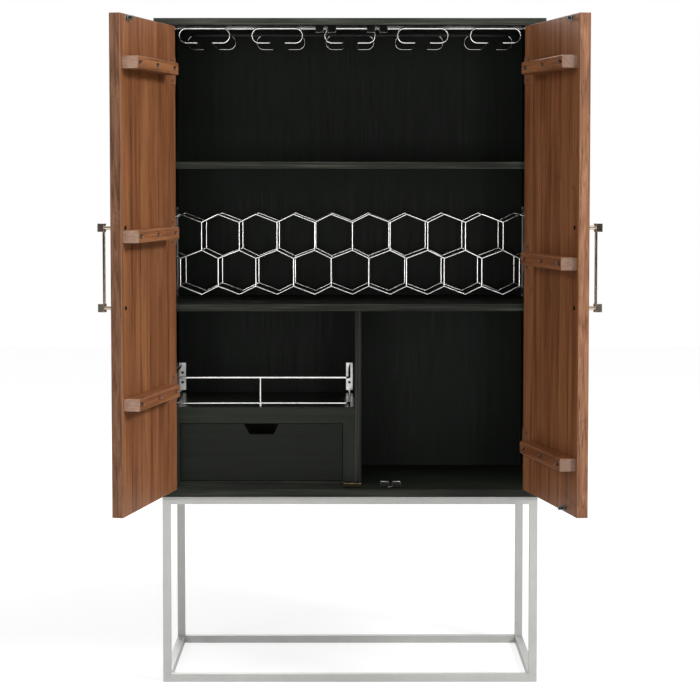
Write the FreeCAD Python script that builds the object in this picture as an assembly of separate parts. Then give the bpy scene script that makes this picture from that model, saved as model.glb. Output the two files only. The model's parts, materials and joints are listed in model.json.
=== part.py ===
import FreeCAD, Part
import math
import os

# Bar armoire: a dark wooden carcass with two plank doors on a square-tube base.
# Millimetres. X runs right, Y runs back, Z runs up. The origin is on the floor, under the
# middle of the base. The doors are modelled in the open position in which the piece is shown.

V = FreeCAD.Vector

# Carcass
carcass_width = 940.0
carcass_depth = 470.0
carcass_height = 1154.0
top_thickness = 16.5
bottom_thickness = 18.0
side_thickness = 22.0
back_thickness = 10.0
back_inset = 26.0
back_groove = 6.0
shelf_thickness = 17.0
shelf_setback = 40.0
shelf_dado = 5.0
lower_shelf_rise = 431.0
upper_shelf_rise = 776.0
divider_thickness = 16.0
divider_offset = 11.6
divider_setback = 64.0
dowel_radius = 4.0
dowel_in_panel = 11.0
dowel_in_side = 20.0
dowel_inset = 60.0

# Base
base_height = 456.0
base_inset_side = 14.5
base_inset_front = 7.5
tube_size = 19.0
tube_wall = 1.5
tab_size = 45.0
tab_thickness = 3.0

# Drawer and its housing
frame_thickness = 20.0
left_stile_width = 31.0
right_stile_width = 29.0
deck_rise = 192.5
deck_thickness = 18.0
top_rail_height = 38.5
bottom_rail_height = 12.0
drawer_gap = 1.5
drawer_front_thickness = 18.0
drawer_wall = 12.0
drawer_side_inset = 3.0
drawer_side_rise = 6.0
drawer_side_height = 100.0
drawer_back_space = 37.0
drawer_bottom_thickness = 6.0
drawer_bottom_groove = 5.0
drawer_bottom_rise = 10.0
runner_ledge = 15.0
runner_guide_height = 45.0
runner_clearance = 0.3
runner_side_clearance = 0.5
notch_top_width = 86.0
notch_bottom_width = 59.0
notch_depth = 26.0
notch_corner = 6.0

# Doors
door_thickness = 25.0
meeting_gap = 3.0
door_gap_top = 4.0
door_gap_bottom = 2.5
door_open_angle = 101.0
board_count = 6
board_ease = 0.8
batten_thickness = 36.5
batten_height = 28.0
batten_from_free_edge = 13.0
batten_from_hinge_edge = 102.0
batten_ease = 1.5
batten_screw_places = (0.07, 0.49, 0.92)
left_low_batten_rise = 253.0
left_middle_batten_above_handle = 69.5
left_high_batten_rise = 1008.5
right_low_batten_rise = 119.5
right_middle_batten_above_handle = 9.5
right_high_batten_rise = 1010.0
counterbore_radius = 4.75
counterbore_length = 28.0
counterbore_depth = 14.0

# Hinges: cranked butt hinges whose door leaf wraps on to the inner face
leaf_thickness = 1.3
leaf_clearance = 0.4
hinge_height = 64.0
hinge_pin_radius = 1.5
pin_running_clearance = 0.05
pin_head_radius = 2.6
pin_head_height = 1.5
barrel_radius = 4.0
barrel_stand_off = 0.5
knuckle_gap = 0.3
knuckle_wall = 1.0
frame_leaf_width = 40.0
frame_leaf_screw_inset = 32.0
door_leaf_width = 44.0
door_leaf_screw_inset = 32.0
leaf_screw_spacing = 48.0

# Handles
handle_from_free_edge = 28.0
handle_rise = 556.0
handle_spacing = 178.0
handle_block = 18.5
handle_block_depth = 14.5
handle_bar = 5.0
handle_post_radius = 5.0
handle_post_length = 21.0
handle_screw_grip = 10.0

# Double ball catches, their strikes on the doors, and the stop between the doors
catch_length = 50.0
catch_depth = 12.0
catch_height = 16.0
catch_bridge = 3.0
catch_slot = 10.0
catch_ball_radius = 3.5
catch_ball_stick_out = 1.5
catch_bore_clearance = 0.3
catch_bore_depth = 9.5
catch_ball_drop = 11.0
catch_screw_spacing = 39.0
catch_clearance = 1.0
strike_thickness = 1.2
strike_height = 13.0
strike_length = 34.0
strike_screw_spacing = 22.0
tongue_height = 8.0
tongue_waist = 6.0
tongue_head = 8.0
tongue_past_ball = 2.5
tongue_head_length = 3.5
left_top_catch_offset = 57.0
right_top_catch_offset = 64.0
right_bottom_catch_offset = 97.0
stop_left = 16.0
stop_right = 27.0
stop_depth = 18.0
stop_height = 12.0
stop_clearance = 0.3
stud_radius = 3.5
stud_length = 5.0
stud_round = 1.5
stud_shank_radius = 1.5
stud_shank_length = 8.0
stud_rise = 13.0
stud_inset = 10.0

# Stemware rack under the top
stem_front_setback = 84.0
stem_rear_inset = 84.0
stem_bar_width = 12.0
stem_bar_thickness = 5.0
stem_bar_end_gap = 6.0
stem_screw_inset = 20.0
stem_wire_radius = 2.0
stem_wire_seat = 0.5
stem_top_gap = 0.5
stem_channel_count = 5
stem_end_space = 33.0
stem_channel_width = 122.0
stem_channel_height = 35.0
stem_channel_gap = 34.0
stem_end_flat = 1.0
stem_lip_bend = 4.0

# Bottle rack: two honeycomb lattices of straight rods between end frames
rack_front_setback = 214.0
rack_rear_inset = 48.0
rack_wire_radius = 2.5
rack_upright_radius = 2.3
rack_pitch = 94.5
rack_even_shift = 6.0
rack_rise = 20.5
rack_side_length = 70.0
rack_foot_gap = 14.0
rack_rod_overrun_share = 0.2
strap_thickness = 3.0
strap_width = 10.0
strap_top_margin = 15.0
strap_tie_inset = 12.0

# Gallery rail on the drawer deck
gallery_setback = 88.0
gallery_wire_radius = 2.5
gallery_post_radius = 3.0
gallery_post_seat = 1.0
gallery_foot_radius = 4.0
gallery_foot_height = 6.0
gallery_height = 63.5
gallery_bend = 12.0
gallery_plate_width = 17.5
gallery_plate_thickness = 2.0
gallery_plate_below = 3.0
gallery_plate_above = 5.0
gallery_hole_rise = 30.0
gallery_hole_spacing = 25.4
gallery_right_gap = 4.4

# Screws
wood_screw_head_radius = 3.4
wood_screw_head_height = 1.3
wood_screw_radius = 1.5
wood_screw_length = 12.0
base_screw_head_radius = 4.4
base_screw_head_height = 2.2
base_screw_radius = 2.1
base_screw_length = 15.0
pan_head_radius = 4.2
pan_head_height = 2.4
pan_screw_radius = 2.0
batten_screw_bite = 15.0
recess_width = 0.8
recess_depth = 0.8
recess_reach_share = 0.6

# Planes and levels that follow from the sizes
half_width = carcass_width / 2
inner_half = half_width - side_thickness
front = -carcass_depth / 2
rear = carcass_depth / 2
back_face = rear - back_inset
floor_top = base_height + bottom_thickness
top_level = base_height + carcass_height
ceiling = top_level - top_thickness
hinge_gap = 2 * leaf_thickness + leaf_clearance
door_edge = inner_half - hinge_gap
door_free = meeting_gap / 2
door_inner = front + door_thickness
door_bottom = floor_top + door_gap_bottom
door_top = ceiling - door_gap_top
axis_x = inner_half - hinge_gap / 2
axis_y = front - barrel_radius - barrel_stand_off
shelf_front = front + shelf_setback
lower_shelf_bottom = floor_top + lower_shelf_rise
lower_shelf_top = lower_shelf_bottom + shelf_thickness
upper_shelf_bottom = floor_top + upper_shelf_rise
upper_shelf_top = upper_shelf_bottom + shelf_thickness
divider_left = divider_offset
divider_right = divider_offset + divider_thickness
housing_front = front + divider_setback
housing_back = housing_front + frame_thickness
deck_top = floor_top + deck_rise
deck_bottom = deck_top - deck_thickness
top_rail_bottom = deck_top - top_rail_height
left_batten_rises = (
    left_low_batten_rise, handle_rise + left_middle_batten_above_handle, left_high_batten_rise,
)
right_batten_rises = (
    right_low_batten_rise, handle_rise + right_middle_batten_above_handle, right_high_batten_rise,
)

nodes = {}
cabinet_screws = []
top_cuts = []
bottom_cuts = []
back_cuts = []
side_cuts = {-1: [], 1: []}


def keep(name, *solids):
    """Store one node, as a single solid or as a group of separate solids."""
    nodes[name] = solids[0] if len(solids) == 1 else Part.makeCompound(list(solids))


def block(x0, x1, y0, y1, z0, z1):
    return Part.makeBox(x1 - x0, y1 - y0, z1 - z0, V(x0, y0, z0))


def rod(start, end, radius):
    return Part.makeCylinder(radius, (end - start).Length, start, end - start)


def upright(x, y, z0, z1, radius):
    return Part.makeCylinder(radius, z1 - z0, V(x, y, z0))


def prism(points, along):
    """A flat outline pushed along a vector."""
    return Part.Face(Part.makePolygon(points + points[:1])).extrude(along)


def mirrored(shape):
    """The same shape on the other side of the cabinet."""
    return shape.mirror(V(0, 0, 0), V(1, 0, 0))


def eased(solid, along, size):
    """Chamfer the edges of a solid that run along a direction."""
    chosen = [e for e in solid.Edges if abs(e.tangentAt(e.FirstParameter).dot(along)) > 0.99]
    return solid.makeChamfer(size, chosen)


def bent_rod(points, bends, radius):
    """A round wire through the points, with a bend radius for each corner."""
    edges = []
    start = points[0]
    for before, corner, after, bend in zip(points, points[1:], points[2:], bends):
        come = (corner - before) / (corner - before).Length
        leave = (after - corner) / (after - corner).Length
        half_turn = come.getAngle(leave) / 2
        setback = bend * math.tan(half_turn)
        inward = (leave - come) / (leave - come).Length
        middle = corner + inward * (bend / math.cos(half_turn) - bend)
        edges.append(Part.LineSegment(start, corner - come * setback).toShape())
        arc = Part.Arc(corner - come * setback, middle, corner + leave * setback)
        edges.append(arc.toShape())
        start = corner + leave * setback
    edges.append(Part.LineSegment(start, points[-1]).toShape())
    section = Part.Wire([Part.makeCircle(radius, points[0], points[1] - points[0])])
    return Part.Wire(edges).makePipeShell([section], True, False)


def aimed(shape, place, direction):
    """A copy of a shape that points down, moved to a place and turned to a direction."""
    copy = shape.copy()
    copy.Placement = FreeCAD.Placement(place, FreeCAD.Rotation(V(0, 0, -1), direction))
    return copy


# Screws, each as the finished screw and as the plain hole that it fills

def cross_recess(head_radius, level):
    reach = head_radius * recess_reach_share
    half = recess_width / 2
    one = block(-reach, reach, -half, half, level - recess_depth, level)
    other = block(-half, half, -reach, reach, level - recess_depth, level)
    return one.fuse(other)


def countersunk(head_radius, head_height, radius, length):
    """A screw that points down, with the flat of its head at zero."""
    head = Part.makeCone(radius, head_radius, head_height, V(0, 0, -head_height))
    plain = head.fuse(upright(0, 0, -length, -head_height, radius)).removeSplitter()
    return plain.cut(cross_recess(head_radius, 0)), plain


def pan_head(length):
    """A screw that points down, with its head seated at zero."""
    head = upright(0, 0, 0, pan_head_height, pan_head_radius)
    plain = head.fuse(upright(0, 0, -length, 0, pan_screw_radius)).removeSplitter()
    return plain.cut(cross_recess(pan_head_radius, pan_head_height)), plain


wood_screw, wood_screw_hole = countersunk(
    wood_screw_head_radius, wood_screw_head_height, wood_screw_radius, wood_screw_length
)
base_screw, base_screw_hole = countersunk(
    base_screw_head_radius, base_screw_head_height, base_screw_radius, base_screw_length
)


def drive(place, direction):
    """Put a wood screw into the cabinet and return the hole that it fills."""
    cabinet_screws.append(aimed(wood_screw, place, direction))
    return aimed(wood_screw_hole, place, direction)


# Base: a mitred floor frame, four legs and four top rails of square tube

base_right = half_width - base_inset_side
base_front = front + base_inset_front
leg_right = base_right - tube_size
leg_front = base_front + tube_size


def tube(x0, x1, y0, y1, z0, z1, along):
    """A square tube that is open at both ends along one axis."""
    wall = {axis: 0 if axis == along else tube_wall for axis in "xyz"}
    hollow = block(
        x0 + wall["x"], x1 - wall["x"], y0 + wall["y"], y1 - wall["y"],
        z0 + wall["z"], z1 - wall["z"],
    )
    return block(x0, x1, y0, y1, z0, z1).cut(hollow)


def ring(margin, z0, z1):
    """A rectangular ring inside the floor frame's outline, margin in from its faces."""
    outer = block(
        margin - base_right, base_right - margin, base_front + margin, -base_front - margin, z0, z1
    )
    inner = block(
        -leg_right - margin, leg_right + margin, leg_front - margin, margin - leg_front, z0, z1
    )
    return outer.cut(inner)


keep("base_floor_frame", ring(0, 0, tube_size).cut(ring(tube_wall, tube_wall, tube_size - tube_wall)))

rail_bottom = base_height - tube_size
legs = []
tabs = []
base_screws = []
for side in (-1, 1):
    leg_x = sorted((side * leg_right, side * base_right))
    tab_x = sorted((side * leg_right, side * (leg_right - tab_size)))
    for end in (-1, 1):
        leg_y = sorted((-end * leg_front, -end * base_front))
        tab_y = sorted((-end * leg_front, -end * (leg_front + tab_size)))
        legs.append(tube(*leg_x, *leg_y, tube_size, base_height, "z"))
        screw_place = V(sum(tab_x) / 2, sum(tab_y) / 2, base_height - tab_thickness)
        hole = aimed(base_screw_hole, screw_place, V(0, 0, 1))
        base_screws.append(aimed(base_screw, screw_place, V(0, 0, 1)))
        tabs.append(block(*tab_x, *tab_y, base_height - tab_thickness, base_height).cut(hole))
        bottom_cuts.append(hole)
keep("base_legs", *legs)
keep(
    "base_top_rails",
    tube(-leg_right, leg_right, base_front, leg_front, rail_bottom, base_height, "x"),
    tube(-leg_right, leg_right, -leg_front, -base_front, rail_bottom, base_height, "x"),
    tube(-base_right, -leg_right, leg_front, -leg_front, rail_bottom, base_height, "y"),
    tube(leg_right, base_right, leg_front, -leg_front, rail_bottom, base_height, "y"),
)
keep("base_mounting_tabs", *tabs)
keep("base_screws", *base_screws)

# Hinges on the cabinet side: frame leaves with two knuckles, and fixed pins

leaf_front = axis_y + barrel_radius + knuckle_gap
knuckle_height = (hinge_height - 2 * knuckle_gap) / 3
knuckle_neck = hinge_pin_radius + knuckle_wall


def knuckle(x0, x1, z0, z1, bore):
    """One barrel segment with the neck that joins it to a leaf between x0 and x1."""
    barrel = upright(axis_x, axis_y, z0, z1, barrel_radius)
    neck = block(x0, x1, axis_y + knuckle_neck, leaf_front, z0, z1)
    return barrel.fuse(neck).cut(upright(axis_x, axis_y, z0, z1, bore))


def frame_hinge(rise):
    """The right-hand frame leaf and pin at one height, and where its screws go."""
    low = floor_top + rise - hinge_height / 2
    high = low + hinge_height
    leaf_x = (inner_half - leaf_thickness, inner_half)
    leaf = block(*leaf_x, leaf_front, front + frame_leaf_width, low, high)
    for z0, z1 in ((low, low + knuckle_height), (high - knuckle_height, high)):
        leaf = leaf.fuse(knuckle(*leaf_x, z0, z1, hinge_pin_radius))
    pin = upright(axis_x, axis_y, low, high, hinge_pin_radius)
    for z0 in (low - pin_head_height, high):
        pin = pin.fuse(upright(axis_x, axis_y, z0, z0 + pin_head_height, pin_head_radius))
    screw_y = front + frame_leaf_screw_inset
    places = [
        V(inner_half - leaf_thickness, screw_y, floor_top + rise + step)
        for step in (-leaf_screw_spacing / 2, leaf_screw_spacing / 2)
    ]
    return leaf.removeSplitter(), pin.removeSplitter(), places


frame_leaves = []
hinge_pins = []
for side, rises in ((-1, left_batten_rises), (1, right_batten_rises)):
    for rise in rises:
        leaf, pin, places = frame_hinge(rise)
        if side < 0:
            leaf = mirrored(leaf)
            pin = mirrored(pin)
        for place in places:
            hole = drive(V(side * place.x, place.y, place.z), V(side, 0, 0))
            leaf = leaf.cut(hole)
            side_cuts[side].append(hole)
        frame_leaves.append(leaf)
        hinge_pins.append(pin)
keep("hinge_frame_leaves", *frame_leaves)
keep("hinge_pins", *hinge_pins)

# Double ball catches: a slotted block with two sprung balls that grip the strike's tongue

catch_front = door_inner + strike_thickness + catch_clearance
catch_middle = catch_front + catch_depth / 2
catch_ball_x = catch_slot / 2 + catch_ball_radius - catch_ball_stick_out


def catch_housing(name, centre, surface, hang, panel_cuts):
    """A catch on a horizontal surface: hang is -1 below it and +1 above it."""
    def level(drop):
        return surface + hang * drop

    def slab(half_length, near, far):
        x = (centre - half_length, centre + half_length)
        z = sorted((level(near), level(far)))
        return block(*x, catch_front, catch_front + catch_depth, *z)

    holes = [slab(catch_slot / 2, catch_bridge, catch_height)]
    for way, side_name in ((-1, "left"), (1, "right")):
        mouth = V(centre + way * catch_slot / 2, catch_middle, level(catch_ball_drop))
        bore_end = mouth + V(way * catch_bore_depth, 0, 0)
        holes.append(rod(mouth, bore_end, catch_ball_radius + catch_bore_clearance))
        ball = V(centre + way * catch_ball_x, catch_middle, level(catch_ball_drop))
        keep(f"{name}_{side_name}_ball", Part.makeSphere(catch_ball_radius, ball))
        seat = V(centre + way * catch_screw_spacing / 2, catch_middle, level(catch_bridge))
        mouth_z = sorted((level(catch_bridge), level(catch_height)))
        holes.append(upright(seat.x, seat.y, *mouth_z, wood_screw_head_radius))
        screw_hole = drive(seat, V(0, 0, -hang))
        holes.append(screw_hole)
        panel_cuts.append(screw_hole)
    return slab(catch_length / 2, 0, catch_height).cut(holes)


left_top_x = -door_free - left_top_catch_offset
right_top_x = door_free + right_top_catch_offset
right_bottom_x = door_free + right_bottom_catch_offset
keep(
    "catch_housings",
    catch_housing("top_left_catch", left_top_x, ceiling, -1, top_cuts),
    catch_housing("top_right_catch", right_top_x, ceiling, -1, top_cuts),
    catch_housing("bottom_right_catch", right_bottom_x, floor_top, 1, bottom_cuts),
)

stop_front = door_inner + stop_clearance
stop_middle = (stop_right - stop_left) / 2
stop_screw = V(stop_middle, stop_front + stop_depth / 2, floor_top + stop_height / 2)
stop_hole = drive(stop_screw, V(0, 0, -1))
stop_mouth = upright(
    stop_screw.x, stop_screw.y, stop_screw.z, floor_top + stop_height, wood_screw_head_radius
)
stop_block = block(
    -stop_left, stop_right, stop_front, stop_front + stop_depth, floor_top, floor_top + stop_height
)
bottom_cuts.append(stop_hole)
stud_place = V(divider_right, housing_front + stud_inset, floor_top + stud_rise)
stud_end = stud_place + V(stud_length, 0, 0)
stud_head = rod(stud_place, stud_end, stud_radius)
stud_rim = [e for e in stud_head.Edges if e.BoundBox.XMin > stud_end.x - stud_round]
stud_shank = rod(stud_place - V(stud_shank_length, 0, 0), stud_place, stud_shank_radius)
stud = stud_head.makeFillet(stud_round, stud_rim).fuse(stud_shank)
keep("centre_door_stop", stop_block.cut([stop_hole, stop_mouth]), stud)

# Stemware rack: two flat bars under the top carry five open channels of bent wire, which are
# seated in the front of the front bar and in the back of the rear bar

stem_front = front + stem_front_setback
stem_rear = back_face - stem_rear_inset
stem_bar_bottom = ceiling - stem_bar_thickness
stem_bar_half = inner_half - stem_bar_end_gap
stem_span = 2 * (inner_half - stem_end_space) - stem_channel_width
stem_channel_pitch = stem_span / (stem_channel_count - 1)


def stem_bar(y, channels):
    bar = block(
        -stem_bar_half, stem_bar_half, y - stem_bar_width / 2, y + stem_bar_width / 2,
        stem_bar_bottom, ceiling,
    ).cut(channels)
    screw_reach = stem_bar_half - stem_screw_inset
    for x in (-screw_reach, stem_channel_pitch / 2, screw_reach):
        hole = drive(V(x, y, stem_bar_bottom), V(0, 0, 1))
        bar = bar.cut(hole)
        top_cuts.append(hole)
    return bar


def stem_channel(centre):
    """One closed bent wire: a C-shaped loop at each end, joined by the two rails of its mouth."""
    high = ceiling - stem_top_gap - stem_wire_radius
    low = high - stem_channel_height
    round_end = (stem_channel_height - stem_end_flat) / 2
    bends = [round_end, round_end, stem_lip_bend, stem_lip_bend, round_end, round_end]
    halves = []
    for way in (-1, 1):
        wall = centre + way * stem_channel_width / 2
        lip = centre + way * stem_channel_gap / 2
        route = [
            V(centre, stem_front, high), V(wall, stem_front, high), V(wall, stem_front, low),
            V(lip, stem_front, low), V(lip, stem_rear, low), V(wall, stem_rear, low),
            V(wall, stem_rear, high), V(centre, stem_rear, high),
        ]
        halves.append(bent_rod(route, bends, stem_wire_radius))
    return halves[0].fuse(halves[1]).removeSplitter()


middle_channel = (stem_channel_count - 1) / 2
channel_places = [(i - middle_channel) * stem_channel_pitch for i in range(stem_channel_count)]
channels = [stem_channel(place) for place in channel_places]
bar_from_wire = stem_wire_radius - stem_wire_seat + stem_bar_width / 2
keep(
    "stemware_crossbars",
    stem_bar(stem_front + bar_from_wire, channels), stem_bar(stem_rear - bar_from_wire, channels),
)
keep("stemware_channels", *channels)

# Bottle rack: honeycomb lattices of straight rods, cut to meet at every corner. The even corners,
# in line with the uprights of the upper row, stand a little to the right.

lattice_half = inner_half - strap_thickness
lattice_bottom = lower_shelf_top + rack_foot_gap
row_low = lattice_bottom + rack_rise
row_high = row_low + rack_side_length
upper_low = row_high + rack_rise
upper_high = upper_low + rack_side_length
lattice_top = upper_high + rack_rise
lattice_reach = math.ceil(2 * lattice_half / rack_pitch)


def corner_x(corner):
    return corner * rack_pitch / 2 + (rack_even_shift if corner % 2 == 0 else 0)


def zigzag(y, even_level, odd_level):
    """Sloping rods from wall to wall, through corners half a pitch apart."""
    rods = []
    for corner in range(-lattice_reach, lattice_reach):
        levels = (even_level, odd_level) if corner % 2 == 0 else (odd_level, even_level)
        start = V(corner_x(corner), y, levels[0])
        end = V(corner_x(corner + 1), y, levels[1])
        left = max(start.x, -lattice_half)
        right = min(end.x, lattice_half)
        if right - left > rack_wire_radius:
            past = (end - start) * rack_rod_overrun_share
            slot = block(left, right, y - rack_pitch, y + rack_pitch, 0, top_level)
            rods.append(rod(start - past, end + past, rack_wire_radius).common(slot))
    return rods


def lattice(y):
    """Three zigzags with upright rods between them."""
    slopes = [
        zigzag(y, lattice_bottom, row_low),
        zigzag(y, upper_low, row_high),
        zigzag(y, upper_high, lattice_top),
    ]
    rods = [part for row in slopes for part in row]
    for corner in range(-lattice_reach, lattice_reach + 1):
        x = corner_x(corner)
        if abs(x) < lattice_half - rack_wire_radius:
            z0, z1 = (upper_low, upper_high) if corner % 2 == 0 else (row_low, row_high)
            post = upright(x, y, z0, z1, rack_upright_radius)
            near = [s for row in slopes for s in row if s.BoundBox.intersect(post.BoundBox)]
            rods.append(post.cut(near))
    return rods


rack_front = front + rack_front_setback
rack_rear = back_face - rack_rear_inset
keep("bottle_rack_front_lattice", *lattice(rack_front))
keep("bottle_rack_rear_lattice", *lattice(rack_rear))

end_frames = []
strap_top = lattice_top + strap_top_margin
for side in (-1, 1):
    strap_x = sorted((side * lattice_half, side * inner_half))
    for y in (rack_front, rack_rear):
        end_frames.append(
            block(*strap_x, y - strap_width / 2, y + strap_width / 2, lower_shelf_top, strap_top)
        )
    for z in (lower_shelf_top + strap_tie_inset, strap_top - strap_tie_inset):
        end_frames.append(
            block(
                *strap_x, rack_front + strap_width / 2, rack_rear - strap_width / 2,
                z - strap_width / 2, z + strap_width / 2,
            )
        )
keep("bottle_rack_end_frames", *end_frames)

# Gallery rail on the drawer deck: two bent rods, a post and two plates on the back

gallery_front = front + gallery_setback
gallery_left = -inner_half + gallery_plate_width / 2
gallery_right = divider_left - gallery_right_gap - gallery_plate_width / 2
gallery_low = deck_top + gallery_foot_height + gallery_wire_radius
gallery_high = gallery_low + gallery_height
plate_front = back_face - gallery_plate_thickness


def gallery_rail(z):
    route = [
        V(gallery_left, plate_front, z), V(gallery_left, gallery_front, z),
        V(gallery_right, gallery_front, z), V(gallery_right, plate_front, z),
    ]
    return bent_rod(route, [gallery_bend, gallery_bend], gallery_wire_radius)


low_rail = gallery_rail(gallery_low)
high_rail = gallery_rail(gallery_high)
post_x = (gallery_left + gallery_right) / 2
post_reach = gallery_wire_radius - gallery_post_seat
post = upright(
    post_x, gallery_front, gallery_low + post_reach, gallery_high - post_reach, gallery_post_radius
)
foot = upright(post_x, gallery_front, deck_top, deck_top + gallery_foot_height, gallery_foot_radius)
back_plates = []
for x in (gallery_left, gallery_right):
    plate = block(
        x - gallery_plate_width / 2, x + gallery_plate_width / 2, plate_front, back_face,
        gallery_low - gallery_plate_below, gallery_high + gallery_plate_above,
    )
    for step in (-gallery_hole_spacing / 2, gallery_hole_spacing / 2):
        hole = drive(V(x, plate_front, gallery_low + gallery_hole_rise + step), V(0, 1, 0))
        plate = plate.cut(hole)
        back_cuts.append(hole)
    back_plates.append(plate)
keep("gallery_top_rail", high_rail)
keep("gallery_bottom_rail", low_rail)
keep("gallery_post", post.cut([low_rail, high_rail]), foot)
keep("gallery_back_plates", *back_plates)

# Carcass panels, with the shelves housed in the sides and the back held in grooves

back_panel = block(
    -inner_half - back_groove, inner_half + back_groove, back_face, back_face + back_thickness,
    floor_top - back_groove, ceiling + back_groove,
)
shelf_x = (-inner_half - shelf_dado, inner_half + shelf_dado)
lower_shelf = block(*shelf_x, shelf_front, back_face, lower_shelf_bottom, lower_shelf_top)
upper_shelf = block(*shelf_x, shelf_front, back_face, upper_shelf_bottom, upper_shelf_top)
divider = block(
    divider_left, divider_right, housing_front, back_face,
    floor_top - shelf_dado, lower_shelf_bottom + shelf_dado,
)
deck = block(
    -inner_half - shelf_dado, divider_left + shelf_dado, housing_back, back_face,
    deck_bottom, deck_top,
)

dowels = []
for side in (-1, 1):
    dowel_x = side * (inner_half + side_thickness / 2)
    for y in (front + dowel_inset, 0, rear - dowel_inset):
        dowels.append(
            upright(dowel_x, y, ceiling - dowel_in_side, ceiling + dowel_in_panel, dowel_radius)
        )
        dowels.append(
            upright(dowel_x, y, floor_top - dowel_in_panel, floor_top + dowel_in_side, dowel_radius)
        )

top_panel = block(-half_width, half_width, front, rear, ceiling, top_level)
bottom_panel = block(-half_width, half_width, front, rear, base_height, floor_top)
keep("top_panel", top_panel.cut([back_panel] + dowels + top_cuts))
keep("bottom_panel", bottom_panel.cut([back_panel, divider] + dowels + bottom_cuts))
for side, side_name in ((-1, "left"), (1, "right")):
    panel = block(*sorted((side * inner_half, side * half_width)), front, rear, floor_top, ceiling)
    housed = [back_panel, lower_shelf, upper_shelf, deck]
    keep(f"{side_name}_side_panel", panel.cut(housed + dowels + side_cuts[side]))
keep("back_panel", back_panel.cut(back_cuts))
keep("upper_shelf", upper_shelf)
keep("lower_shelf", lower_shelf.cut(divider))
keep("centre_divider", divider.cut([deck, stud]))
keep("carcass_dowels", *dowels)

# Drawer housing: a face frame around the drawer, a deck over it and runners inside

left_stile_x = (-inner_half, -inner_half + left_stile_width)
right_stile_x = (divider_left - right_stile_width, divider_left)
opening_left = left_stile_x[1]
opening_right = right_stile_x[0]
opening_bottom = floor_top + bottom_rail_height
frame_y = (housing_front, housing_back)
keep("housing_deck", deck)
keep("housing_top_rail", block(-inner_half, divider_left, *frame_y, top_rail_bottom, deck_top))
keep(
    "housing_stiles",
    block(*left_stile_x, *frame_y, floor_top, top_rail_bottom),
    block(*right_stile_x, *frame_y, floor_top, top_rail_bottom),
)
keep(
    "housing_bottom_rail",
    block(opening_left, opening_right, *frame_y, floor_top, opening_bottom),
)

drawer_left = opening_left + drawer_gap
drawer_right = opening_right - drawer_gap
front_low = opening_bottom + drawer_gap
front_high = top_rail_bottom - drawer_gap
side_low = front_low + drawer_side_rise
side_high = side_low + drawer_side_height
side_left = drawer_left + drawer_side_inset
side_right = drawer_right - drawer_side_inset
ledge_top = side_low - runner_clearance


def runner(wall, drawer_face, way):
    """A wooden runner that fills the space beside the drawer and carries its side on a ledge."""
    guide = drawer_face - way * runner_side_clearance
    ledge = guide + way * runner_ledge
    outline = [
        V(wall, housing_back, floor_top), V(ledge, housing_back, floor_top),
        V(ledge, housing_back, ledge_top), V(guide, housing_back, ledge_top),
        V(guide, housing_back, ledge_top + runner_guide_height),
        V(wall, housing_back, ledge_top + runner_guide_height),
    ]
    return prism(outline, V(0, back_face - housing_back, 0))


keep("drawer_runners", runner(-inner_half, side_left, 1), runner(divider_left, side_right, -1))

# Drawer

notch_middle = (drawer_left + drawer_right) / 2
drawer_front_back = housing_front + drawer_front_thickness
notch = prism(
    [
        V(notch_middle - notch_top_width / 2, housing_front, front_high),
        V(notch_middle - notch_bottom_width / 2, housing_front, front_high - notch_depth),
        V(notch_middle + notch_bottom_width / 2, housing_front, front_high - notch_depth),
        V(notch_middle + notch_top_width / 2, housing_front, front_high),
    ],
    V(0, drawer_front_thickness, 0),
)
notch_edges = [
    e for e in notch.Edges
    if e.BoundBox.ZMax < front_high - notch_depth / 2 and e.BoundBox.YLength > notch_corner
]
notch = notch.makeFillet(notch_corner, notch_edges)
drawer_board = block(
    drawer_left, drawer_right, housing_front, drawer_front_back, front_low, front_high
)
keep("drawer_front", drawer_board.cut(notch))

box_y = (drawer_front_back, back_face - drawer_back_space)
back_y = (box_y[1] - drawer_wall, box_y[1])
tray_low = side_low + drawer_bottom_rise
tray = block(
    side_left + drawer_wall - drawer_bottom_groove, side_right - drawer_wall + drawer_bottom_groove,
    box_y[0], back_y[0] + drawer_bottom_groove, tray_low, tray_low + drawer_bottom_thickness,
)
keep(
    "drawer_left_side",
    block(side_left, side_left + drawer_wall, *box_y, side_low, side_high).cut(tray),
)
keep(
    "drawer_right_side",
    block(side_right - drawer_wall, side_right, *box_y, side_low, side_high).cut(tray),
)
keep(
    "drawer_back",
    block(side_left + drawer_wall, side_right - drawer_wall, *back_y, side_low, side_high).cut(tray),
)
keep("drawer_bottom", tray)

# Doors, worked out closed on the right-hand side, then mirrored where needed and swung open

batten_left = door_free + batten_from_free_edge
batten_right = door_edge - batten_from_hinge_edge
batten_face = door_inner + batten_thickness
batten_seat = batten_face - counterbore_depth
batten_screw, batten_screw_hole = pan_head(batten_seat - door_inner + batten_screw_bite)
handle_screw, handle_screw_hole = pan_head(door_thickness + handle_screw_grip)
into_door = V(0, -1, 0)


def slotted_counterbore(seat):
    """A pocket for a screw head, long enough for the boards to move under the batten."""
    reach = counterbore_length / 2 - counterbore_radius
    pocket = block(
        seat.x - reach, seat.x + reach, seat.y, batten_face,
        seat.z - counterbore_radius, seat.z + counterbore_radius,
    )
    for x in (seat.x - reach, seat.x + reach):
        end = rod(V(x, seat.y, seat.z), V(x, batten_face, seat.z), counterbore_radius)
        pocket = pocket.fuse(end)
    return pocket


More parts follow.
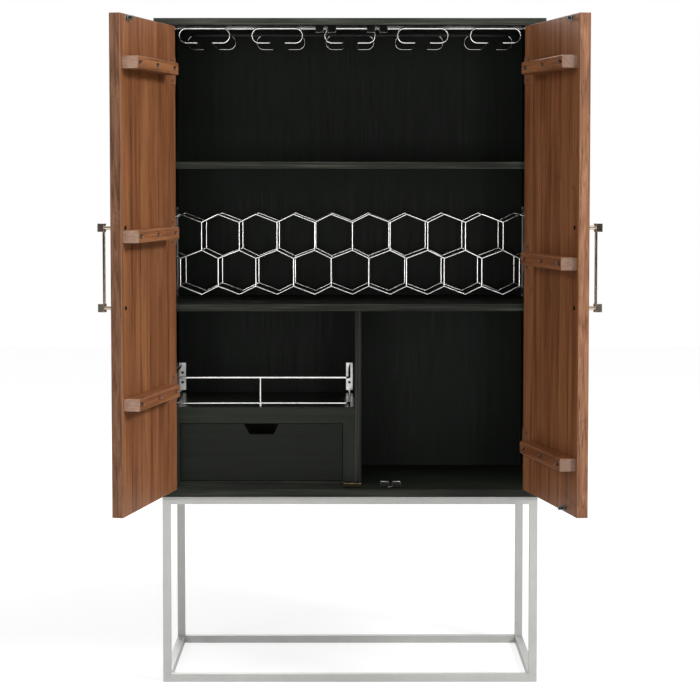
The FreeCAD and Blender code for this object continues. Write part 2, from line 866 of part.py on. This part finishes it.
def battens_and_screws(rises):
    battens = []
    screws = []
    holes = []
    for rise in rises:
        z = floor_top + rise
        half = batten_height / 2
        batten = eased(
            block(batten_left, batten_right, door_inner, batten_face, z - half, z + half),
            V(1, 0, 0), batten_ease,
        )
        for share in batten_screw_places:
            x = batten_left + share * (batten_right - batten_left)
            seat = V(x, batten_seat, z)
            hole = aimed(batten_screw_hole, seat, into_door)
            batten = batten.cut([hole, slotted_counterbore(seat)])
            screws.append(aimed(batten_screw, seat, into_door))
            holes.append(hole)
        battens.append(batten)
    return battens, screws, holes


def handle_and_screws():
    x = door_free + handle_from_free_edge
    middle = floor_top + handle_rise
    half = handle_block / 2
    block_back = front - handle_post_length
    block_front = block_back - handle_block_depth
    ends = (middle - handle_spacing / 2, middle + handle_spacing / 2)
    handle = block(
        x - handle_bar / 2, x + handle_bar / 2, block_back - handle_bar, block_back, *ends
    )
    screws = []
    holes = []
    for z in ends:
        knob = block(x - half, x + half, block_front, block_back, z - half, z + half)
        post = rod(V(x, front, z), V(x, block_back, z), handle_post_radius)
        handle = handle.fuse([knob, post])
        place = V(x, door_inner, z)
        screws.append(aimed(handle_screw, place, into_door))
        holes.append(aimed(handle_screw_hole, place, into_door))
    return handle.removeSplitter().cut(holes), screws, holes


def door_leaf(rise):
    """A leaf with one knuckle, round the hinge edge of the door and on to its inner face."""
    middle = floor_top + rise
    low = middle - hinge_height / 2
    high = middle + hinge_height / 2
    edge_x = (door_edge, door_edge + leaf_thickness)
    face_back = door_inner + leaf_thickness
    on_edge = block(*edge_x, leaf_front, face_back, low, high)
    on_face = block(door_edge - door_leaf_width, edge_x[1], door_inner, face_back, low, high)
    half = knuckle_height / 2
    bore = hinge_pin_radius + pin_running_clearance
    leaf = on_edge.fuse([on_face, knuckle(*edge_x, middle - half, middle + half, bore)])
    return leaf.removeSplitter()


def strike(centre, level):
    """A plate on the door's inner face with a waisted tongue that enters the catch."""
    plate_back = door_inner + strike_thickness
    neck_end = catch_middle + tongue_past_ball
    z = (level - tongue_height / 2, level + tongue_height / 2)
    plate = block(
        centre - strike_length / 2, centre + strike_length / 2, door_inner, plate_back,
        level - strike_height / 2, level + strike_height / 2,
    )
    neck = block(centre - tongue_waist / 2, centre + tongue_waist / 2, plate_back, neck_end, *z)
    head = block(
        centre - tongue_head / 2, centre + tongue_head / 2,
        neck_end, neck_end + tongue_head_length, *z,
    )
    return plate.fuse([neck, head]).removeSplitter()


def make_door(name, mirror, rises, strike_places):
    battens, batten_screws, holes = battens_and_screws(rises)
    handle, handle_screws, handle_holes = handle_and_screws()
    holes = holes + handle_holes
    screws = []

    def fix(fitting, places):
        """Screw a fitting to the door's inner face."""
        for place in places:
            hole = aimed(wood_screw_hole, place, into_door)
            fitting = fitting.cut(hole)
            holes.append(hole)
            screws.append(aimed(wood_screw, place, into_door))
        return fitting

    leaves = []
    for rise in rises:
        x = door_edge - door_leaf_screw_inset
        z = floor_top + rise
        places = [
            V(x, door_inner + leaf_thickness, z + step)
            for step in (-leaf_screw_spacing / 2, leaf_screw_spacing / 2)
        ]
        leaves.append(fix(door_leaf(rise), places))
    strikes = []
    for centre, level in strike_places:
        places = [
            V(centre + step, door_inner + strike_thickness, level)
            for step in (-strike_screw_spacing / 2, strike_screw_spacing / 2)
        ]
        strikes.append(fix(strike(centre, level), places))

    board_width = (door_edge - door_free) / board_count
    boards = []
    for i in range(board_count):
        x = door_free + i * board_width
        board = block(x, x + board_width, front, door_inner, door_bottom, door_top)
        boards.append(eased(board, V(0, 0, 1), board_ease).cut(holes))

    groups = {
        "boards": boards,
        "battens": battens,
        "batten_screws": batten_screws,
        "handle": [handle],
        "handle_screws": handle_screws,
        "hinge_leaves": leaves,
        "strikes": strikes,
        "fitting_screws": screws,
    }
    for group, solids in groups.items():
        opened = []
        for solid in solids:
            swung = solid.copy()
            swung.rotate(V(axis_x, axis_y, 0), V(0, 0, 1), door_open_angle)
            opened.append(mirrored(swung) if mirror else swung)
        keep(f"{name}_{group}", *opened)


top_strike_level = ceiling - catch_ball_drop
bottom_strike_level = floor_top + catch_ball_drop
make_door("left_door", True, left_batten_rises, [(-left_top_x, top_strike_level)])
make_door(
    "right_door", False, right_batten_rises,
    [(right_top_x, top_strike_level), (right_bottom_x, bottom_strike_level)],
)

keep("cabinet_screws", *cabinet_screws)

os.makedirs("parts", exist_ok=True)
for name, shape in nodes.items():
    shape.exportStep(f"parts/{name}.step")
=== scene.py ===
import json
import math
from collections import namedtuple

import bpy
from mathutils import Matrix, Vector


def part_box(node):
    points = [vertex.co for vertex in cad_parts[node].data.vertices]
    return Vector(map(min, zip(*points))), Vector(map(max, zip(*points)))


# Bar armoire: the built pieces get their finishes here, in a plain white studio.
# Metres and watts, in the frame of the built model: X right, Y back, Z up.

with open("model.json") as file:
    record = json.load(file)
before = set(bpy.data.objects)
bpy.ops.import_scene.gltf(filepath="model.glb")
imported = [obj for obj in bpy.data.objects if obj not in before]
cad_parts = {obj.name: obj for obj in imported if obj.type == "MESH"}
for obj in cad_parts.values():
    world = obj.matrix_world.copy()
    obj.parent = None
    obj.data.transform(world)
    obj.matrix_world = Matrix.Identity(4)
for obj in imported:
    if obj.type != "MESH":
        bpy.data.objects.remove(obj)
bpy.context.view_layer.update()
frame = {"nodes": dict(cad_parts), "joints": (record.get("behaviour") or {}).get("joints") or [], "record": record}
nodes = frame["nodes"]
joints = {joint["name"]: joint for joint in frame["joints"]}

# Camera, at the height of the upper shelf, well in front of the doors and tilted down a little
camera_distance = 5.12
camera_height = 1.236
camera_lens = 109.43
camera_sensor = 36.0
camera_shift = -0.06
camera_tilt_down = math.radians(3.585)

# Light: a high soft box on each side, one overhead, one behind, and three near the camera
# for the bright metal
Lamp = namedtuple("Lamp", "name place power width height")
lamp_aim = Vector((0, -0.2, 0.95))
lamps = (
    Lamp("key_lamp", (3.9, -3.3, 3.9), power=222.0, width=1.5, height=1.5),
    Lamp("fill_lamp", (-3.9, -3.3, 3.7), power=58.0, width=1.5, height=1.5),
    Lamp("top_lamp", (0.3, -1.2, 4.2), power=30.0, width=2.4, height=2.4),
    Lamp("back_lamp", (-0.9, 4.4, 3.0), power=80.0, width=2.0, height=2.0),
    Lamp("front_lamp", (0, -5.4, 0.85), power=30.0, width=3.0, height=0.9),
    Lamp("left_strip_lamp", (-1.3, -5.3, 1.5), power=20.0, width=0.5, height=2.2),
    Lamp("right_strip_lamp", (1.3, -5.3, 1.5), power=20.0, width=0.5, height=2.2),
)

# Room: white to the eye and dim as a light. Metal sees it white too, except for a dark end
# in front of the object, which starts and is full where a direction has these Y parts
room_light = 0.15
dark_end_light = 0.05
dark_end_start = -0.56
dark_end_full = -0.84

# Floor: pale, and whiter away from the object
floor_half = 10.0
floor_seen_colour = (0.45, 0.45, 0.45)
floor_bounce_colour = (0.55, 0.55, 0.55)
near_glow = 0.74
far_glow = 0.90
near_reach = 0.9
far_reach = 3.0

# Door boards
board_count = 6
board_grain_offset = 7.0
joint_line_width = 0.0014
left_edge_tone = 0.58
right_edge_tone = 0.90
left_end_tone = 1.40
right_end_tone = 0.92

# Noise lies mostly between these two values
noise_low = 0.3
noise_high = 0.7

# Black-stained wood: stops of tone and colour for faces and sawn edges, and two sheens.
# The panel at the back is a little greener.
stained_faces = (
    (0.34, (0.0066, 0.0081, 0.0059)),
    (0.50, (0.0096, 0.0116, 0.0085)),
    (0.68, (0.0150, 0.0176, 0.0131)),
)
green_faces = (
    (0.34, (0.0065, 0.0094, 0.0066)),
    (0.50, (0.0094, 0.0135, 0.0096)),
    (0.68, (0.0147, 0.0205, 0.0148)),
)
sawn_edges = (
    (0.36, (0.0085, 0.0101, 0.0075)),
    (0.52, (0.0215, 0.0243, 0.0190)),
    (0.66, (0.0500, 0.0540, 0.0430)),
)
# Corners painted lighter, partly as wear and partly as painted edge highlights
worn_and_highlit_stain = (0.085, 0.076, 0.060)
Sheen = namedtuple("Sheen", "smoothest roughest specular bump")
matt = Sheen(smoothest=0.44, roughest=0.60, specular=0.12, bump=0.35)
polished = Sheen(smoothest=0.18, roughest=0.26, specular=0.50, bump=0.10)

# Oiled hardwood: stops of tone and colour for faces, ends and long edges, and its marks
hardwood_faces = (
    (0.42, (0.145, 0.049, 0.0190)),
    (0.50, (0.230, 0.086, 0.0345)),
    (0.56, (0.305, 0.122, 0.0495)),
    (0.64, (0.400, 0.178, 0.0750)),
)
hardwood_ends = (
    (0.32, (0.205, 0.124, 0.088)),
    (0.68, (0.335, 0.212, 0.157)),
)
hardwood_edges = (
    (0.34, (0.165, 0.071, 0.037)),
    (0.50, (0.295, 0.135, 0.071)),
    (0.66, (0.430, 0.215, 0.122)),
)
dark_grain = (0.085, 0.034, 0.017)
# Arrises painted lighter, partly as wear and partly as painted edge highlights
worn_and_highlit_wood = (0.36, 0.215, 0.142)
joint_dirt = (0.030, 0.012, 0.007)
# Painted shade: the colour for deep holes and tight corners
crevice_shade_colour = (0.016, 0.007, 0.005)
pore_start = 0.62
pore_full = 0.75
ripple_slant = 0.60

# Metal: smudges darken it to a share, and painted shade darkens a wire from front to back
smudge_tone = 0.88
shade_start_y = -0.12
shade_full_y = 0.10


def across(grain, wide, length):
    """Feature sizes for a grain that runs along one axis."""
    return tuple(length if axis == grain else wide for axis in "xyz")


def even(size):
    """Feature sizes for a pattern that is the same along every axis."""
    return (size, size, size)


def shade(colour, tone):
    return tuple(part * tone for part in colour)


class Nodes:
    """A shader tree, built a node at a time."""

    def __init__(self, tree):
        self.tree = tree

    def put(self, node, name, value):
        """Set one input of a node, or link another node's output to it."""
        if isinstance(value, bpy.types.NodeSocket):
            self.tree.links.new(value, node.inputs[name])
        else:
            node.inputs[name].default_value = value

    def node(self, kind, inputs=None, **settings):
        made = self.tree.nodes.new(kind)
        for name, value in settings.items():
            setattr(made, name, value)
        for name, value in (inputs or {}).items():
            self.put(made, name, value)
        return made

    def calc(self, operation, *values):
        return self.node("ShaderNodeMath", dict(enumerate(values)), operation=operation).outputs[0]

    def blend(self, *shares):
        """The sum of several values, each given with its share."""
        total = 0.0
        for value, share in shares:
            total = self.calc("MULTIPLY_ADD", value, share, total)
        return total

    def vector(self, operation, *values):
        made = self.node("ShaderNodeVectorMath", dict(enumerate(values)), operation=operation)
        return made.outputs["Value" if operation in ("DOT_PRODUCT", "LENGTH") else "Vector"]

    def along(self, source, axis):
        """One coordinate of a vector."""
        return self.node("ShaderNodeSeparateXYZ", {0: source}).outputs[axis.upper()]

    def joined(self, x, y, z):
        """A vector of three coordinates."""
        return self.node("ShaderNodeCombineXYZ", {"X": x, "Y": y, "Z": z}).outputs[0]

    def faces(self, facing, axis, start=0.75, full=0.95):
        """Where a surface faces along an axis, either way."""
        return self.spread(self.calc("ABSOLUTE", self.along(facing, axis)), start, full)

    def turned(self, source, pivot, angle):
        """Coordinates seen from a pivot, with a turn about the vertical taken out."""
        inputs = {"Vector": source, "Location": pivot, "Rotation": (0, 0, angle)}
        return self.node("ShaderNodeMapping", inputs, vector_type="TEXTURE").outputs[0]

    def noise(self, source, size, detail=3.0, roughness=0.55, distortion=0.0):
        """Noise whose features have the given size along each axis."""
        scaled = self.vector("MULTIPLY", source, tuple(1 / s for s in size))
        inputs = {
            "Vector": scaled, "Scale": 1.0, "Detail": detail, "Roughness": roughness,
            "Distortion": distortion,
        }
        return self.node("ShaderNodeTexNoise", inputs).outputs["Fac"]

    def spread(self, value, low, high, to_low=0.0, to_high=1.0):
        """A value carried from one range to another, smoothly, and held inside it."""
        inputs = {
            "Value": value, "From Min": low, "From Max": high, "To Min": to_low, "To Max": to_high,
        }
        return self.node("ShaderNodeMapRange", inputs, interpolation_type="SMOOTHSTEP").outputs[0]

    def ramp(self, value, stops, tone=1.0):
        """A colour for each value, between stops of place and colour, all times a tone."""
        made = self.node("ShaderNodeValToRGB", {"Fac": value})
        points = made.color_ramp.elements
        while len(points) < len(stops):
            points.new(0.5)
        for point, (place, colour) in zip(points, stops):
            point.position = place
            point.color = (*shade(colour, tone), 1)
        return made.outputs["Color"]

    def mix(self, share, one, other):
        """The first colour, with a share of the other over it."""
        made = self.node("ShaderNodeMix", data_type="RGBA")
        for name, value in (("Factor_Float", share), ("A_Color", one), ("B_Color", other)):
            socket = next(s for s in made.inputs if s.identifier == name)
            if isinstance(value, bpy.types.NodeSocket):
                self.tree.links.new(value, socket)
            else:
                socket.default_value = value if name == "Factor_Float" else (*value, 1)
        return next(s for s in made.outputs if s.identifier == "Result_Color")

    def seen(self):
        """Two shares, each one or zero: seen directly or through glass, and seen in a reflection."""
        path = self.node("ShaderNodeLightPath").outputs
        direct = self.calc("MAXIMUM", path["Is Camera Ray"], path["Is Transmission Ray"])
        return direct, path["Is Glossy Ray"]


class Paint(Nodes):
    """A procedural material."""

    def __init__(self, name):
        self.material = bpy.data.materials.new(name)
        self.material.use_nodes = True
        super().__init__(self.material.node_tree)
        self.surface = self.tree.nodes["Principled BSDF"]
        self.places = self.node("ShaderNodeTexCoord").outputs

    def soft_edges(self, radius):
        return self.node("ShaderNodeBevel", {"Radius": radius}, samples=4).outputs[0]

    def worn_and_highlit_edges(self, edges, place, patch, bare=0.5, full_turn=0.20):
        """Where the corners are worn and where edge highlights are painted: along the softened edges, in patches,
        for a share.
        """
        facing = self.node("ShaderNodeNewGeometry").outputs["Normal"]
        turn = self.calc("SUBTRACT", 1.0, self.vector("DOT_PRODUCT", edges, facing))
        patch_start = 0.88 - bare
        patch_full = 1.16 - bare
        bare_patches = self.spread(self.noise(place, even(patch)), patch_start, patch_full)
        return self.calc("MULTIPLY", self.spread(turn, full_turn / 20, full_turn), bare_patches)

    def crevices(self, reach):
        """How deep a point lies in a hole or corner, from none to fully."""
        closed_in = 0.26
        in_the_open = 0.54
        occlusion = self.node("ShaderNodeAmbientOcclusion", {"Distance": reach}, samples=8)
        return self.spread(occlusion.outputs["AO"], closed_in, in_the_open, 1.0, 0.0)

    def bump(self, height, depth, strength, edges):
        inputs = {"Height": height, "Distance": depth, "Strength": strength, "Normal": edges}
        return self.node("ShaderNodeBump", inputs).outputs[0]

    def finish(self, **inputs):
        """Give the surface its inputs, with _ for the spaces in their names."""
        for name, value in inputs.items():
            self.put(self.surface, name.replace("_", " "), value)
        return self.material


def black_wood(name, grain, face, face_stops, face_tone, edge_tone, sheen):
    """Black-stained wood: open grain, paler sawn edges, and corners painted lighter for wear and as edge
    highlights; its tones lighten or darken it as painted light and shade.
    """
    paint = Paint(f"black_stained_wood_{name}")
    place = paint.places["Object"]
    streaks = paint.noise(place, across(grain, wide=0.016, length=0.5), detail=4.0, distortion=0.4)
    fibres = paint.noise(place, across(grain, wide=0.0024, length=0.10), detail=2.0)
    tone = paint.blend((streaks, 0.55), (fibres, 0.45))
    faces = paint.ramp(tone, face_stops, face_tone)
    lines = paint.noise(place, across(grain, wide=0.0034, length=0.22), detail=4.0, roughness=0.65)
    sawn = paint.ramp(lines, sawn_edges, edge_tone)
    flat = paint.faces(paint.places["Normal"], face, start=0.6, full=0.9)
    stain = paint.mix(flat, sawn, faces)
    edges = paint.soft_edges(radius=0.0014)
    # Corners painted lighter: worn stain and painted edge highlights
    return paint.finish(
        Base_Color=paint.mix(paint.worn_and_highlit_edges(edges, place, patch=0.035), stain, worn_and_highlit_stain),
        Roughness=paint.spread(fibres, noise_low, noise_high, sheen.smoothest, sheen.roughest),
        Specular_IOR_Level=sheen.specular,
        Normal=paint.bump(fibres, depth=0.0003, strength=sheen.bump, edges=edges),
    )


class Door:
    """Where a door sits at rest, from its hinge: the pivot and the turn from closed."""

    def __init__(self, name, edge_tone, end_tone):
        joint = joints[f"{name}_hinge"]
        self.pivot = Vector(joint["pos_m"])
        self.turn = -math.radians(joint["range_deg"][0]) * joint["axis"][2]
        self.edge_tone = edge_tone
        self.end_tone = end_tone
        self.first_seed = 0.0 if self.turn < 0 else float(board_count)
        back = Matrix.Rotation(-self.turn, 3, "Z")
        boards = nodes[f"{name}_boards"].data.vertices
        reach = [abs((back @ (v.co - self.pivot)).x) for v in boards]
        self.near = min(reach)
        self.board_width = (max(reach) - min(reach)) / board_count


def board_joints(paint, door, place):
    """The seed of each board, and how near a point lies to the joint with the next one."""
    across_door = paint.calc("ABSOLUTE", paint.along(place, "x"))
    count = paint.calc("DIVIDE", paint.calc("SUBTRACT", across_door, door.near), door.board_width)
    inside = paint.calc("MINIMUM", paint.calc("MAXIMUM", count, 0.5), board_count - 0.5)
    number = paint.calc("ADD", paint.calc("FLOOR", inside), door.first_seed)
    seed = paint.node("ShaderNodeTexWhiteNoise", {"W": number}, noise_dimensions="1D")
    nearest = paint.calc("ABSOLUTE", paint.calc("SUBTRACT", paint.calc("FRACT", inside), 0.5))
    half_line = joint_line_width / door.board_width
    return seed.outputs["Value"], paint.spread(nearest, 0.5 - 2 * half_line, 0.5 - half_line)


def edge_grain(paint, door, place):
    """The colour of a door's long edges: wavy upright grain, with curly ripples in places."""
    depth = paint.along(place, "y")
    slant = paint.calc("MULTIPLY_ADD", depth, ripple_slant, paint.along(place, "z"))
    sheared = paint.joined(0.0, depth, slant)
    ripples = paint.noise(sheared, (1.0, 0.030, 0.0052), detail=3.0, distortion=1.2)
    bands = paint.noise(place, (1.0, 0.0085, 0.11), detail=4.0, roughness=0.62, distortion=1.3)
    patches = paint.noise(place, (1.0, 1.0, 0.10), detail=2.0)
    curly = paint.spread(patches, 0.52, 0.66, to_low=0.05, to_high=0.34)
    curl = paint.calc("MULTIPLY", paint.calc("SUBTRACT", ripples, 0.5), curly)
    return paint.ramp(paint.calc("ADD", bands, curl), hardwood_edges, door.edge_tone)


def door_wood(name, door, grain, is_board):
    """Oiled brown hardwood with long streaks, for boards or for battens."""
    paint = Paint(f"oiled_hardwood_{name}")
    place = paint.turned(paint.places["Object"], door.pivot, door.turn)
    facing = paint.turned(paint.places["Normal"], (0, 0, 0), door.turn)
    smudges = paint.noise(place, (0.11, 0.11, 0.05), detail=4.0, distortion=0.6)

    seed = 0.5
    joint = 0.0
    if is_board:
        seed, joint = board_joints(paint, door, place)
        offset = paint.calc("MULTIPLY", seed, board_grain_offset)
        place = paint.vector("ADD", place, paint.joined(offset, offset, offset))

    broad = paint.noise(place, across(grain, wide=0.060, length=0.60), detail=3.0, distortion=0.9)
    streaks = paint.noise(
        place, across(grain, wide=0.012, length=0.45), detail=6.0, roughness=0.78, distortion=0.9
    )
    fibres = paint.noise(place, across(grain, wide=0.0034, length=0.22), detail=3.0, roughness=0.6)
    dashes = paint.noise(place, across(grain, wide=0.0055, length=0.075), detail=1.5)
    pores = paint.noise(place, across(grain, wide=0.0011, length=0.024), detail=1.0)
    tone = paint.blend((broad, 0.33), (streaks, 0.31), (fibres, 0.36), (seed, 0.05))
    colour = paint.ramp(tone, hardwood_faces)
    marks = (
        (smudges, 0.60, 0.80, 0.30),
        (dashes, 0.64, 0.74, 0.60),
        (pores, pore_start, pore_full, 0.30),
    )
    for mark, start, full, most in marks:
        colour = paint.mix(paint.spread(mark, start, full, to_high=most), colour, dark_grain)

    filled = paint.noise(place, (0.2, 0.2, 0.12), detail=3.0)
    gaps = paint.spread(filled, 0.40, 0.66, to_low=0.05, to_high=0.85)
    colour = paint.mix(paint.calc("MULTIPLY", joint, gaps), colour, joint_dirt)
    rings = paint.noise(place, (0.0030, 0.014, 0.0022), detail=3.0, distortion=0.6)
    end_grain = paint.ramp(rings, hardwood_ends, door.end_tone)
    colour = paint.mix(paint.faces(facing, grain), colour, end_grain)
    if is_board:
        colour = paint.mix(paint.faces(facing, "x"), colour, edge_grain(paint, door, place))

    edges = paint.soft_edges(radius=0.0018)
    # Arrises painted lighter: partly wear, partly painted edge highlights
    worn_and_highlit_edges = paint.worn_and_highlit_edges(edges, place, patch=0.06, bare=0.66, full_turn=0.07)
    worn_and_highlit = paint.calc("MULTIPLY", worn_and_highlit_edges, paint.calc("SUBTRACT", 1.0, joint))
    colour = paint.mix(worn_and_highlit, colour, worn_and_highlit_wood)
    # Painted shade: darker deep in screw holes and tight corners
    painted_shade = paint.calc("MULTIPLY", paint.crevices(reach=0.012), 0.9)
    height = paint.calc("SUBTRACT", fibres, paint.spread(pores, pore_start, pore_full))
    return paint.finish(
        Base_Color=paint.mix(painted_shade, colour, crevice_shade_colour),
        Roughness=paint.spread(fibres, noise_low, noise_high, to_low=0.42, to_high=0.58),
        Specular_IOR_Level=0.14,
        Normal=paint.bump(height, depth=0.0003, strength=0.30, edges=edges),
    )


def metal(
    name, colour, rough, smudge=0.10, metallic=1.0, specular=0.5, edge_radius=0.0003, scratches=0.12,
    grain=even(0.0008), edge_glint_colour=None, far_shade_tone=1.0,
):
    """A metal with an uneven polish and scratches, and if asked, edges painted bright as highlights and a far end
    painted dark as shade.
    """
    paint = Paint(name)
    place = paint.places["Object"]
    cloud = paint.noise(place, even(0.05), detail=4.0)
    scratch = paint.noise(place, grain, detail=2.0)
    share = paint.blend((cloud, 0.6), (scratch, 0.4))
    tint = paint.ramp(share, ((0.35, shade(colour, smudge_tone)), (0.65, colour)))
    edges = paint.soft_edges(edge_radius)
    # Painted highlights: the edges made bright
    if edge_glint_colour:
        tint = paint.mix(paint.worn_and_highlit_edges(edges, place, patch=0.02, bare=0.7), tint, edge_glint_colour)
    # Painted shade: darker towards the back
    if far_shade_tone < 1:
        depth = paint.spread(paint.along(place, "y"), shade_start_y, shade_full_y)
        tint = paint.mix(depth, tint, shade(colour, far_shade_tone))
    return paint.finish(
        Base_Color=tint,
        Metallic=metallic,
        Specular_IOR_Level=specular,
        Roughness=paint.spread(share, noise_low, noise_high, rough, rough + smudge),
        Normal=paint.bump(scratch, depth=0.0001, strength=scratches, edges=edges),
    )


def plain_wood(name, dark, light, grain):
    """Unfinished or lightly stained wood for parts inside."""
    paint = Paint(name)
    place = paint.places["Object"]
    streaks = paint.noise(place, across(grain, wide=0.012, length=0.4), detail=4.0, distortion=0.4)
    fibres = paint.noise(place, across(grain, wide=0.0015, length=0.05), detail=2.0)
    tone = paint.blend((streaks, 0.6), (fibres, 0.4))
    edges = paint.soft_edges(radius=0.0008)
    return paint.finish(
        Base_Color=paint.ramp(tone, ((noise_low, dark), (noise_high, light))),
        Roughness=paint.spread(fibres, noise_low, noise_high, to_low=0.50, to_high=0.66),
        Normal=paint.bump(fibres, depth=0.0002, strength=0.3, edges=edges),
    )


# Finishes by the record's material slots, with a few pieces that have one of their own

doors = {
    "left_door": Door("left_door", left_edge_tone, left_end_tone),
    "right_door": Door("right_door", right_edge_tone, right_end_tone),
}
chrome = (0.86, 0.86, 0.84)
smooth_grain = even(0.005)
# Painted shade: the crossbar at the back is near black, and the channel wires darken towards the back
round_bar = metal(
    "round_bar", (0.92, 0.92, 0.90), 0.12, scratches=0.02, edge_radius=0.0026, far_shade_tone=0.05,
    grain=smooth_grain,
)
back_shaded_wire = metal(
    "back_shaded_wire", chrome, 0.14, smudge=0.06, scratches=0.02, far_shade_tone=0.45, grain=smooth_grain,
)
brushed_plate = metal("brushed_plate", (0.92, 0.92, 0.89), 0.32, scratches=0.04)
dull_strap = metal("dull_strap", (0.30, 0.31, 0.31), 0.40)
# Dark metals whose edges are painted bright as highlights
aged_brass = metal(
    "aged_brass", (0.016, 0.012, 0.007), 0.22, edge_radius=0.0015, edge_glint_colour=(0.55, 0.42, 0.20),
)
silver_strike = metal(
    "silver_strike", (0.035, 0.035, 0.033), 0.35, metallic=0.0, specular=0.2, edge_radius=0.0016,
    edge_glint_colour=(0.95, 0.94, 0.88),
)
finishes = {
    "drawer_wood": plain_wood("drawer_wood", (0.050, 0.042, 0.032), (0.110, 0.090, 0.068), "y"),
    "dowel_wood": plain_wood("dowel_wood", (0.42, 0.27, 0.13), (0.60, 0.42, 0.23), "z"),
    "satin_steel": metal(
        "satin_steel", (0.53, 0.529, 0.512), 0.42, metallic=0.30, edge_radius=0.0012,
        grain=across("z", wide=0.0006, length=0.02),
    ),
    "chrome_wire": metal(
        "chrome_wire", chrome, 0.14, smudge=0.06, scratches=0.02, grain=smooth_grain,
    ),
    "nickel": metal("nickel", (0.60, 0.52, 0.43), 0.08, edge_radius=0.0008, scratches=0.04),
    # Hinge leaves painted wood brown, standing in for the door wood reflected in them
    "hinge_steel": metal("hinge_wood_reflection", (0.255, 0.108, 0.052), 0.45, metallic=0.0, specular=0.3),
    "screw_steel": metal(
        "blackened_screw", (0.022, 0.014, 0.010), 0.60, metallic=0.0, specular=0.02,
    ),
    # Edges painted bright as highlights
    "catch_brass": metal(
        "gunmetal", (0.012, 0.012, 0.011), 0.18, edge_radius=0.0015,
        edge_glint_colour=(0.80, 0.79, 0.75),
    ),
    "ball_steel": metal("ball_steel", (0.80, 0.80, 0.78), 0.08, smudge=0.06),
}
own_finish = {
    "gallery_back_plates": brushed_plate,
    "stemware_crossbars": round_bar,
    "stemware_channels": back_shaded_wire,
    "bottle_rack_end_frames": dull_strap,
    "centre_door_stop": aged_brass,
    "left_door_strikes": silver_strike,
    "right_door_strikes": silver_strike,
}

# Black pieces that differ from the others in stain or sheen, and in tones that lighten or darken them as painted
# light and shade
face_stops = {"back_panel": green_faces}
painted_light_face_tones = {
    "back_panel": 0.88, "bottom_panel": 3.0, "drawer_front": 1.1, "housing_deck": 3.4,
    "housing_top_rail": 2.1, "housing_stiles": 2.1, "housing_bottom_rail": 1.9,
}
painted_light_edge_tones = {"top_panel": 1.95, "upper_shelf": 1.2, "lower_shelf": 1.25, "centre_divider": 1.15}
sheens = {"housing_deck": polished}


def longest_and_thinnest(name):
    """The axes along which a piece is longest and thinnest."""
    low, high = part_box(name)
    size = dict(zip("xyz", high - low))
    return max(size, key=size.get), min(size, key=size.get)


def finish_for(name, slot):
    if name in own_finish:
        return own_finish[name]
    if slot == "black_stained_wood":
        grain, face = ("z", "y") if name == "housing_stiles" else longest_and_thinnest(name)
        return black_wood(
            name, grain, face, face_stops.get(name, stained_faces), painted_light_face_tones.get(name, 1.0),
            painted_light_edge_tones.get(name, 1.0), sheens.get(name, matt),
        )
    if slot == "oiled_hardwood":
        door_name = name[: name.index("door") + len("door")]
        is_board = name.endswith("boards")
        return door_wood(name, doors[door_name], "z" if is_board else "x", is_board)
    return finishes[slot]


for part in frame["record"]["subparts"]:
    material = finish_for(part["node"], part["material_slot"])
    for holder in nodes[part["node"]].material_slots:
        holder.material = material

# Studio: soft lamps, a plain white room, a pale floor and the camera

for lamp in lamps:
    light = bpy.data.lights.new(lamp.name, "AREA")
    light.energy = lamp.power
    light.shape = "RECTANGLE"
    light.size = lamp.width
    light.size_y = lamp.height
    made = bpy.data.objects.new(lamp.name, light)
    made.location = lamp.place
    made.rotation_euler = (lamp_aim - Vector(lamp.place)).to_track_quat("-Z", "Y").to_euler()
    made.visible_camera = False
    bpy.context.scene.collection.objects.link(made)

world = bpy.data.worlds.new("white_room")
bpy.context.scene.world = world
world.use_nodes = True
room = Nodes(world.node_tree)
direct, in_metal = room.seen()
way = room.along(room.node("ShaderNodeTexCoord").outputs["Generated"], "y")
room_in_metal = room.spread(way, dark_end_full, dark_end_start, dark_end_light, 1.0)
level = room.blend((in_metal, room_in_metal), (room.calc("SUBTRACT", 1.0, in_metal), room_light))
background = world.node_tree.nodes["Background"]
room.put(background, "Color", (1, 1, 1, 1))
room.put(background, "Strength", room.calc("MAXIMUM", direct, level))

floor_mesh = bpy.data.meshes.new("floor")
corners = [(x * floor_half, y * floor_half, 0) for x, y in ((-1, -1), (1, -1), (1, 1), (-1, 1))]
floor_mesh.from_pydata(corners, [], [(0, 1, 2, 3)])
floor = bpy.data.objects.new("floor", floor_mesh)
bpy.context.scene.collection.objects.link(floor)
pale = Paint("pale_floor")
white_floor = pale.calc("MAXIMUM", *pale.seen())
away = pale.vector("LENGTH", pale.places["Object"])
glow = pale.spread(away, near_reach, far_reach, near_glow, far_glow)
pale.finish(
    Base_Color=pale.mix(white_floor, floor_bounce_colour, floor_seen_colour),
    Roughness=0.9,
    Specular_IOR_Level=0.0,
    Emission_Color=(1, 1, 1, 1),
    Emission_Strength=pale.calc("MULTIPLY", white_floor, glow),
)
floor_mesh.materials.append(pale.material)

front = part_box("top_panel")[0].y
camera_data = bpy.data.cameras.new("camera")
camera_data.lens = camera_lens
camera_data.sensor_width = camera_sensor
camera_data.shift_y = camera_shift
camera = bpy.data.objects.new("camera", camera_data)
camera.location = (0, front - camera_distance, camera_height)
camera.rotation_euler = (math.pi / 2 - camera_tilt_down, 0, 0)
bpy.context.scene.collection.objects.link(camera)
bpy.context.scene.camera = camera
bpy.context.scene.view_settings.view_transform = "Standard"
